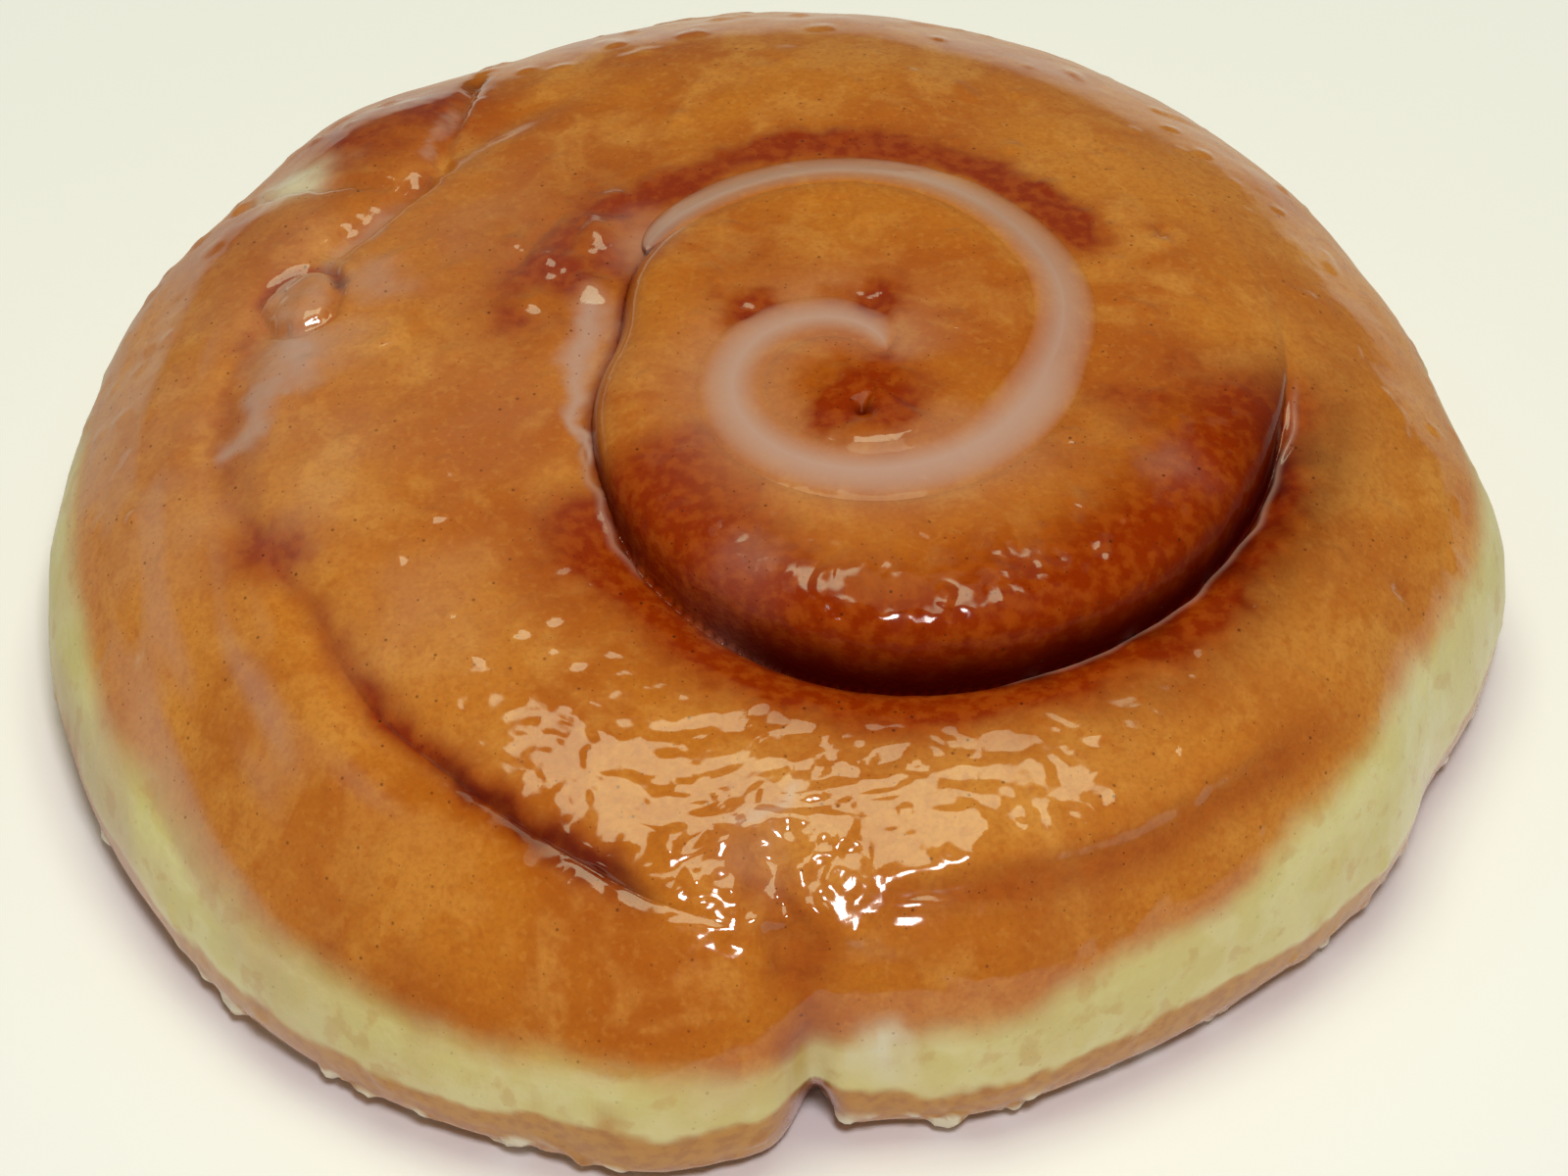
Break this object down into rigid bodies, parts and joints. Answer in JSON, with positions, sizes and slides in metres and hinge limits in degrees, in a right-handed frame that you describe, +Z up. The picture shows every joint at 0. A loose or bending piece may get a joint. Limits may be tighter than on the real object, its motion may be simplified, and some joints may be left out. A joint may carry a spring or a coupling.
{
  "type": "cinnamon roll",
  "caption": "Round glazed cinnamon roll: one baked coil of dough with a raised swirl, a deep seam round it, a cleft at the strip's end, and icing pooled in the inner seam",
  "frame": {"origin": "centre of the bounding box in plan, at the level of the foot", "axes": "+Z up out of the foot, which rests on z = 0; -Y towards the cleft at the strip's end, which is the front; +X to the right seen from the front"},
  "size_m": [0.1271, 0.1315, 0.0385],
  "materials": {
    "dough": null,
    "icing": null
  },
  "bodies": {
    "root": {"roll": "dough", "icing": "icing"}
  },
  "joints": []
}
